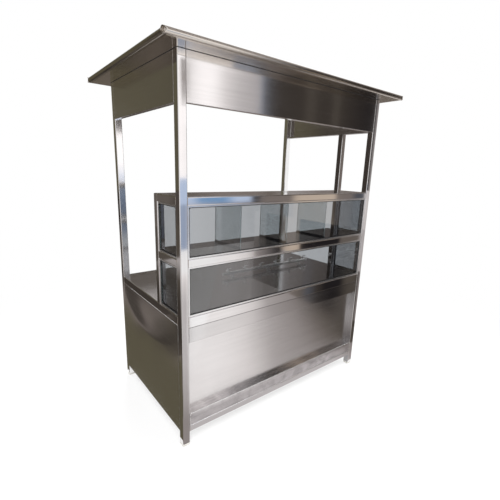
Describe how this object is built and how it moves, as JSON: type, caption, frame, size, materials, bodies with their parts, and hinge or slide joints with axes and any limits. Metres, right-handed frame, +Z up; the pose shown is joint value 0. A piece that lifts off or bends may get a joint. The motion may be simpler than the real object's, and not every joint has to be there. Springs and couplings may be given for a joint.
{
  "type": "street food kiosk",
  "caption": "Stainless-steel street food kiosk: closed base, worktop, glazed display case with a shelf, open serving sides, valances and an overhanging flat roof on square posts.",
  "frame": {"origin": "on the ground, under the middle of the four corner posts and of the roof", "axes": "+X along the front, from the customer's left to right; +Y from the front to the vendor's side; +Z up"},
  "size_m": [1.83, 1.17, 2.134],
  "materials": {
    "tube_steel": "polished stainless tube with a fine lengthwise grain",
    "panel_steel": "brushed stainless sheet",
    "valance_steel": "bright stainless sheet, slightly wavy",
    "roof_steel": "bright stainless sheet with rolled edges",
    "worktop_steel": "bright stainless sheet, worn by use",
    "bead": "small polished glazing channel",
    "glass": "clear float glass with a faint green edge",
    "partition_glass": "clear float glass with ground edges",
    "nylon": "off-white nylon",
    "gas_fittings": "plated pipe and cocks"
  },
  "bodies": {
    "root": {"apron_front": "panel_steel", "base_deck": "panel_steel", "base_rail_back": "tube_steel", "base_rail_front": "tube_steel", "base_rails_side": "tube_steel", "case_post_left": "tube_steel", "case_post_right": "tube_steel", "case_top": "worktop_steel", "case_top_rail_back": "tube_steel", "case_top_rail_front": "tube_steel", "case_top_rail_left": "tube_steel", "case_top_rail_right": "tube_steel", "ceiling_sheet": "roof_steel", "counter_rail_back": "tube_steel", "counter_rail_front": "tube_steel", "counter_rail_left": "tube_steel", "counter_rail_right": "tube_steel", "counter_top": "worktop_steel", "display_shelf": "worktop_steel", "front_glass": "glass", "front_panel": "panel_steel", "gas_cocks": "gas_fittings", "gas_rail": "gas_fittings", "gas_rail_saddles": "gas_fittings", "glazing_beads": "bead", "left_glass": "glass", "left_panel": "panel_steel", "post_back_left": "tube_steel", "post_back_right": "tube_steel", "post_feet": "nylon", "post_front_left": "tube_steel", "post_front_right": "tube_steel", "right_glass": "glass", "right_panel": "panel_steel", "roof_rails": "tube_steel", "roof_sheet": "roof_steel", "shelf_partitions": "partition_glass", "shelf_rail_front": "tube_steel", "shelf_rail_left": "tube_steel", "shelf_rail_right": "tube_steel", "skirting_front": "panel_steel", "valance_front": "valance_steel", "valance_left": "valance_steel", "valance_right": "valance_steel"}
  },
  "joints": []
}
